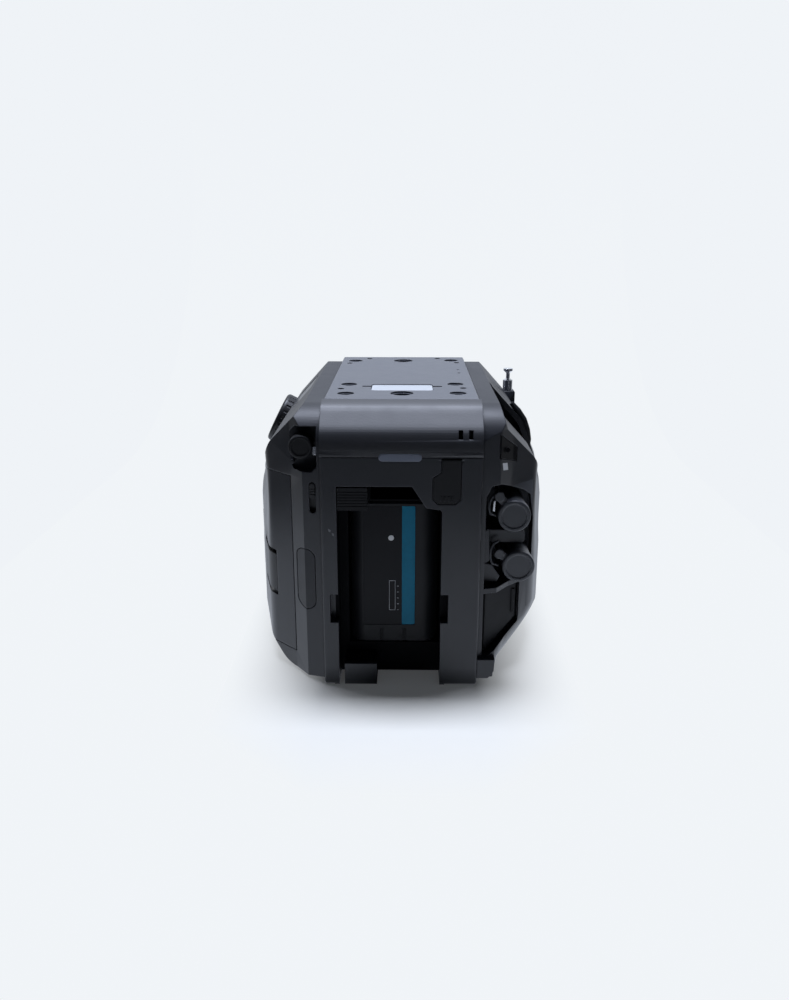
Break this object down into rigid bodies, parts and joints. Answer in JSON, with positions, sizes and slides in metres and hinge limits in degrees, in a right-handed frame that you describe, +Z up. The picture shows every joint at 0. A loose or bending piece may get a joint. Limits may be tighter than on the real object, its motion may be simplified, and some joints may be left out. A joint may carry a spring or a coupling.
{
  "type": "cinema camera",
  "caption": "Compact digital cinema camera body with upright battery pack in a rear bay, faceted side housings, tapped top plate, bayonet lens mount and capped connectors.",
  "frame": {"origin": "centre of the footprint at the surface the camera stands on", "axes": "+Y along the optical axis towards the lens, +Z up, +X to the right seen from behind"},
  "size_m": [0.152, 0.1572, 0.1307],
  "materials": {
    "shell_paint": "fine textured matt paint",
    "plate_paint": "satin black paint",
    "cast_metal": "as cast",
    "steel": "turned and polished",
    "bright_metal": "nickel plated",
    "dark_plastic": "satin",
    "battery_plastic": "fine grain",
    "rubber": "matt",
    "label_print": "printed film",
    "label_dark": "satin film",
    "lamp_lens": "smooth",
    "display_glass": "polished",
    "filter_glass": "coated",
    "sensor_face": "polished",
    "circuit_board": "solder mask",
    "red_plastic": "satin"
  },
  "bodies": {
    "body": {"chassis": "cast_metal", "rear_housing": "shell_paint", "rear_top_cover": "shell_paint", "tally_lamp": "lamp_lens", "top_plate": "plate_paint", "top_label": "label_dark", "left_housing": "shell_paint", "battery_terminal": "dark_plastic", "dc_in_socket": "dark_plastic", "headphone_jack": "bright_metal", "strap_clip": "bright_metal", "usb_socket": "bright_metal", "status_display": "display_glass", "media_slot_unit": "dark_plastic", "right_housing": "shell_paint", "audio_hood": "shell_paint", "xlr_socket_1": "dark_plastic", "xlr_socket_2": "dark_plastic", "bnc_socket_1": "bright_metal", "bnc_socket_2": "bright_metal", "hdmi_socket": "bright_metal", "grip_rosette": "steel", "tape_hook": "steel", "front_panel": "shell_paint", "lens_mount_ring": "steel", "mount_screws": "steel", "mount_contacts": "dark_plastic", "sensor_carrier": "cast_metal", "image_sensor": "sensor_face", "main_board": "circuit_board", "heat_sink": "cast_metal", "fan_frame": "dark_plastic", "base_plate": "plate_paint", "shoulder_pad": "rubber", "base_screws": "steel"},
    "battery": {"battery_pack": "battery_plastic", "battery_label": "label_print"},
    "battery_release_button": {"battery_release_button": "dark_plastic"},
    "dc_in_cover": {"dc_in_cover": "rubber"},
    "headphone_cap": {"headphone_cap": "rubber"},
    "slide_switch": {"slide_switch": "dark_plastic"},
    "usb_cover": {"usb_cover": "rubber"},
    "media_door": {"media_door": "shell_paint"},
    "media_door_latch": {"media_door_latch": "dark_plastic"},
    "nd_dial": {"nd_dial": "dark_plastic"},
    "nd_wheel": {"nd_wheel": "cast_metal", "nd_filters": "filter_glass"},
    "menu_dial": {"menu_dial": "dark_plastic"},
    "assign_button_1": {"assign_button_1": "dark_plastic"},
    "assign_button_2": {"assign_button_2": "dark_plastic"},
    "gain_switch": {"gain_switch": "bright_metal"},
    "record_button": {"record_button": "red_plastic"},
    "memory_card_1": {"memory_card_1": "dark_plastic"},
    "memory_card_2": {"memory_card_2": "dark_plastic"},
    "bnc_cap_1": {"bnc_cap_1": "rubber"},
    "bnc_cap_2": {"bnc_cap_2": "rubber"},
    "hdmi_cover": {"hdmi_cover": "rubber"},
    "remote_cover": {"remote_cover": "rubber"},
    "lens_release_button": {"lens_release_button": "dark_plastic"},
    "fan_rotor": {"fan_rotor": "dark_plastic"}
  },
  "joints": [
    {"name": "battery_slide", "type": "slide", "parent": "body", "child": "battery", "axis": [0, -1, 0], "range_m": [0, 0.055]},
    {"name": "battery_release_press", "type": "slide", "parent": "body", "child": "battery_release_button", "axis": [0, 1, 0], "range_m": [0, 0.0025], "stiffness_N_per_m": 300},
    {"name": "dc_in_cover_hinge", "type": "hinge", "parent": "body", "child": "dc_in_cover", "pos_m": [0.02, -0.0776, 0.1077], "axis": [-1, 0, 0], "range_deg": [0, 100]},
    {"name": "headphone_cap_pull", "type": "slide", "parent": "body", "child": "headphone_cap", "axis": [0, -1, 0], "range_m": [0, 0.012]},
    {"name": "slide_switch_travel", "type": "slide", "parent": "body", "child": "slide_switch", "axis": [0, 0, -1], "range_m": [0, 0.0045]},
    {"name": "usb_cover_pull", "type": "slide", "parent": "body", "child": "usb_cover", "axis": [0, -1, 0], "range_m": [0, 0.008]},
    {"name": "media_door_hinge", "type": "hinge", "parent": "body", "child": "media_door", "pos_m": [-0.073, 0.0035, 0.046], "axis": [0, 0, -1], "range_deg": [0, 80]},
    {"name": "media_door_latch_travel", "type": "slide", "parent": "media_door", "child": "media_door_latch", "axis": [0, 0, -1], "range_m": [0, 0.002], "stiffness_N_per_m": 150},
    {"name": "nd_dial_turn", "type": "hinge", "parent": "body", "child": "nd_dial", "pos_m": [-0.0656, 0.0405, 0.0996], "axis": [-0.8944, 0, 0.4472], "range_deg": [0, 270]},
    {"name": "nd_wheel_turn", "type": "hinge", "parent": "body", "child": "nd_wheel", "pos_m": [-0.01485, 0.0656, 0.08485], "axis": [0, 1, 0], "range_deg": [0, 270]},
    {"name": "menu_dial_turn", "type": "hinge", "parent": "body", "child": "menu_dial", "pos_m": [-0.0715, 0.0345, 0.06], "axis": [-1, 0, 0], "continuous": true},
    {"name": "assign_1_press", "type": "slide", "parent": "body", "child": "assign_button_1", "axis": [1, 0, 0], "range_m": [0, 0.0006], "stiffness_N_per_m": 200},
    {"name": "assign_2_press", "type": "slide", "parent": "body", "child": "assign_button_2", "axis": [1, 0, 0], "range_m": [0, 0.0006], "stiffness_N_per_m": 200},
    {"name": "gain_switch_tilt", "type": "hinge", "parent": "body", "child": "gain_switch", "pos_m": [-0.0695, 0.0345, 0.035], "axis": [0, 1, 0], "range_deg": [-15, 15]},
    {"name": "record_press", "type": "slide", "parent": "body", "child": "record_button", "axis": [0, -1, 0], "range_m": [0, 0.0009], "stiffness_N_per_m": 200},
    {"name": "memory_card_1_slide", "type": "slide", "parent": "body", "child": "memory_card_1", "axis": [0, -1, 0], "range_m": [0, 0.002]},
    {"name": "memory_card_2_slide", "type": "slide", "parent": "body", "child": "memory_card_2", "axis": [0, -1, 0], "range_m": [0, 0.002]},
    {"name": "bnc_cap_1_pull", "type": "slide", "parent": "body", "child": "bnc_cap_1", "axis": [0, -1, 0], "range_m": [0, 0.01]},
    {"name": "bnc_cap_2_pull", "type": "slide", "parent": "body", "child": "bnc_cap_2", "axis": [0, -1, 0], "range_m": [0, 0.01]},
    {"name": "hdmi_cover_hinge", "type": "hinge", "parent": "body", "child": "hdmi_cover", "pos_m": [0.0388, -0.0683, 0.028], "axis": [0, 0, -1], "range_deg": [0, 85]},
    {"name": "remote_cover_pull", "type": "slide", "parent": "body", "child": "remote_cover", "axis": [0, -1, 0], "range_m": [0, 0.008]},
    {"name": "lens_release_press", "type": "slide", "parent": "body", "child": "lens_release_button", "axis": [0, -1, 0], "range_m": [0, 0.001], "stiffness_N_per_m": 300},
    {"name": "fan_spin", "type": "hinge", "parent": "body", "child": "fan_rotor", "pos_m": [0.057, -0.002, 0.034], "axis": [1, 0, 0], "continuous": true}
  ],
  "couplings": [
    {"joint": "nd_wheel_turn", "follows": "nd_dial_turn", "ratio": 1}
  ]
}
